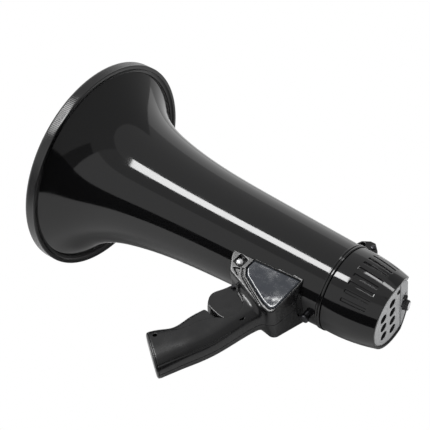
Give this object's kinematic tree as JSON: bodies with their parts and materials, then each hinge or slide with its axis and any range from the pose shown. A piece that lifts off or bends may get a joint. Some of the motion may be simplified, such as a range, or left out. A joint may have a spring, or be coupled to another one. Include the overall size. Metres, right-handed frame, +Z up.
{
  "type": "handheld megaphone",
  "caption": "Pistol-grip megaphone: long flared horn with a re-entrant driver, sprung trigger, vented rear cover with microphone grille, volume knob and mode slider.",
  "frame": {"origin": "centre of the mouth rim's front plane, on the horn's axis", "axes": "+X forward along the horn's axis and out of the mouth, +Y to the holder's left, +Z up, grip pointing down"},
  "size_m": [0.3789, 0.23, 0.2977],
  "materials": {
    "gloss_black": "polished moulded ABS",
    "rim_black": "moulded ABS with a fine knurl on the band",
    "handle_black": "satin-gloss moulded ABS",
    "trigger_black": "satin moulded plastic",
    "smoke_plate": "mirror-polished smoke plate",
    "silver_screw": "polished domed head",
    "dark_steel": "blackened",
    "grille_grey": "light grey satin",
    "panel_grey": "mid grey satin",
    "knob_black": "satin",
    "dark_plastic": "moulded",
    "steel": "plated",
    "foam": "open-cell foam",
    "board_green": "solder mask",
    "bare_aluminium": "extruded",
    "magnet": "sintered ferrite",
    "copper": "enamelled winding",
    "diaphragm": "pressed phenolic",
    "cell_metal": "plain printed jacket"
  },
  "bodies": {
    "megaphone": {"horn_bell": "gloss_black", "rear_cover": "gloss_black", "joint_ring": "gloss_black", "rim_guard": "rim_black", "handle_left": "handle_black", "handle_right": "handle_black", "handle_foot_cap": "handle_black", "strap_lug": "handle_black", "strap_post": "handle_black", "side_plate_left": "smoke_plate", "side_plate_right": "smoke_plate", "bracket_screws": "silver_screw", "strap_lug_screw": "silver_screw", "handle_screws": "dark_steel", "grille_panel": "grille_grey", "control_panel": "panel_grey", "audio_jack": "dark_plastic", "mode_switch": "dark_plastic", "volume_pot": "steel", "mic_capsule": "steel", "mic_foam": "foam", "amplifier_board": "board_green", "heat_sink": "bare_aluminium", "board_capacitors": "dark_plastic", "driver_cover": "gloss_black", "driver_magnet": "magnet", "driver_yoke": "steel", "driver_frame": "steel", "voice_coil": "copper", "driver_diaphragm": "diaphragm", "tone_tube": "dark_plastic", "driver_screws": "steel", "throat_spider": "dark_plastic", "reflex_baffle": "dark_plastic", "battery_cells": "cell_metal", "battery_contacts": "steel", "battery_tray": "dark_plastic", "battery_tray_lid": "dark_plastic", "trigger_pin": "dark_steel", "trigger_spring": "steel", "micro_switch": "dark_plastic"},
    "trigger": {"trigger": "trigger_black"},
    "volume_knob": {"volume_knob": "knob_black"},
    "mode_slider": {"mode_slider": "knob_black"}
  },
  "joints": [
    {"name": "trigger_pull", "type": "hinge", "parent": "megaphone", "child": "trigger", "pos_m": [-0.233, 0, -0.0665], "axis": [0, 1, 0], "range_deg": [0, 7], "stiffness_Nm_per_rad": 0.5, "springref_deg": -8.59},
    {"name": "volume_turn", "type": "hinge", "parent": "megaphone", "child": "volume_knob", "pos_m": [-0.372, -0.0052, 0.0186], "axis": [-0.9816, 0, 0.1908], "range_deg": [-140, 140]},
    {"name": "mode_slide", "type": "slide", "parent": "megaphone", "child": "mode_slider", "axis": [0.1908, 0, 0.9816], "range_m": [-0.003, 0.003]}
  ]
}
